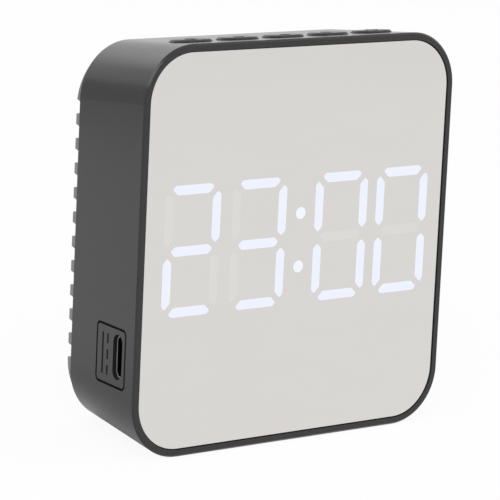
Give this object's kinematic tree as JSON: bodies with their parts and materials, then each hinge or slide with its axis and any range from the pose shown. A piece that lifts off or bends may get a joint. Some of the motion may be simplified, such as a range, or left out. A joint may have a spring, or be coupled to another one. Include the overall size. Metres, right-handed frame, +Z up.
{
  "type": "digital desk clock",
  "caption": "Digital LED desk clock with a mirror front in a tapered case that leans back, press buttons on top, a side power socket and a ribbed back with a hinged battery door.",
  "frame": {"origin": "middle of the bottom wall that the clock stands on", "axes": "+Z up, +X to the right of the display, -Y towards the viewer of the display"},
  "size_m": [0.08, 0.0346, 0.083],
  "materials": {
    "case_plastic": "fine matt texture",
    "cover_plastic": "fine matt texture",
    "mirror": "half-silvered, polished",
    "adhesive": "foam",
    "reflector_plastic": "grey face",
    "lit_resin": "glowing white",
    "dark_resin": "milky",
    "led_package": "phosphor",
    "board_laminate": "solder mask",
    "chip_resin": "moulded",
    "bright_tin": "plated",
    "capacitor_can": "drawn can",
    "buzzer_plastic": "moulded",
    "part_ceramic": "ceramic",
    "socket_plastic": "moulded",
    "switch_plastic": "moulded",
    "plunger_plastic": "moulded",
    "button_plastic": "satin black",
    "screw_steel": "blackened",
    "cell_sleeve": "printed sleeve, plain",
    "contact_nickel": "nickel plated"
  },
  "bodies": {
    "clock_body": {"case_shell": "case_plastic", "mirror_panel": "mirror", "mirror_tape": "adhesive", "light_reflector": "reflector_plastic", "lit_segments": "lit_resin", "dark_segments": "dark_resin", "led_chips": "led_package", "main_board": "board_laminate", "control_chip": "chip_resin", "clock_crystal": "bright_tin", "voltage_regulator": "chip_resin", "smoothing_capacitor": "capacitor_can", "small_parts": "part_ceramic", "buzzer": "buzzer_plastic", "usb_shell": "bright_tin", "usb_tongue": "socket_plastic", "tact_switches": "switch_plastic", "board_screws": "screw_steel", "rear_cover": "cover_plastic", "cover_screws": "screw_steel", "battery_cells": "cell_sleeve", "battery_contacts": "contact_nickel"},
    "top_button_1": {"button_1": "button_plastic", "switch_plunger_1": "plunger_plastic"},
    "top_button_2": {"button_2": "button_plastic", "switch_plunger_2": "plunger_plastic"},
    "top_button_3": {"button_3": "button_plastic", "switch_plunger_3": "plunger_plastic"},
    "top_button_4": {"button_4": "button_plastic", "switch_plunger_4": "plunger_plastic"},
    "top_button_5": {"button_5": "button_plastic", "switch_plunger_5": "plunger_plastic"},
    "rear_door": {"battery_door": "cover_plastic"}
  },
  "joints": [
    {"name": "button_1_press", "type": "slide", "parent": "clock_body", "child": "top_button_1", "axis": [0, -0.0946, -0.9955], "range_m": [0, 0.0004], "stiffness_N_per_m": 400},
    {"name": "button_2_press", "type": "slide", "parent": "clock_body", "child": "top_button_2", "axis": [0, -0.0946, -0.9955], "range_m": [0, 0.0004], "stiffness_N_per_m": 400},
    {"name": "button_3_press", "type": "slide", "parent": "clock_body", "child": "top_button_3", "axis": [0, -0.0946, -0.9955], "range_m": [0, 0.0004], "stiffness_N_per_m": 400},
    {"name": "button_4_press", "type": "slide", "parent": "clock_body", "child": "top_button_4", "axis": [0, -0.0946, -0.9955], "range_m": [0, 0.0004], "stiffness_N_per_m": 400},
    {"name": "button_5_press", "type": "slide", "parent": "clock_body", "child": "top_button_5", "axis": [0, -0.0946, -0.9955], "range_m": [0, 0.0004], "stiffness_N_per_m": 400},
    {"name": "door_hinge", "type": "hinge", "parent": "clock_body", "child": "rear_door", "pos_m": [0, 0.01458, 0.01994], "axis": [-1, 0, 0], "range_deg": [0, 65]}
  ]
}
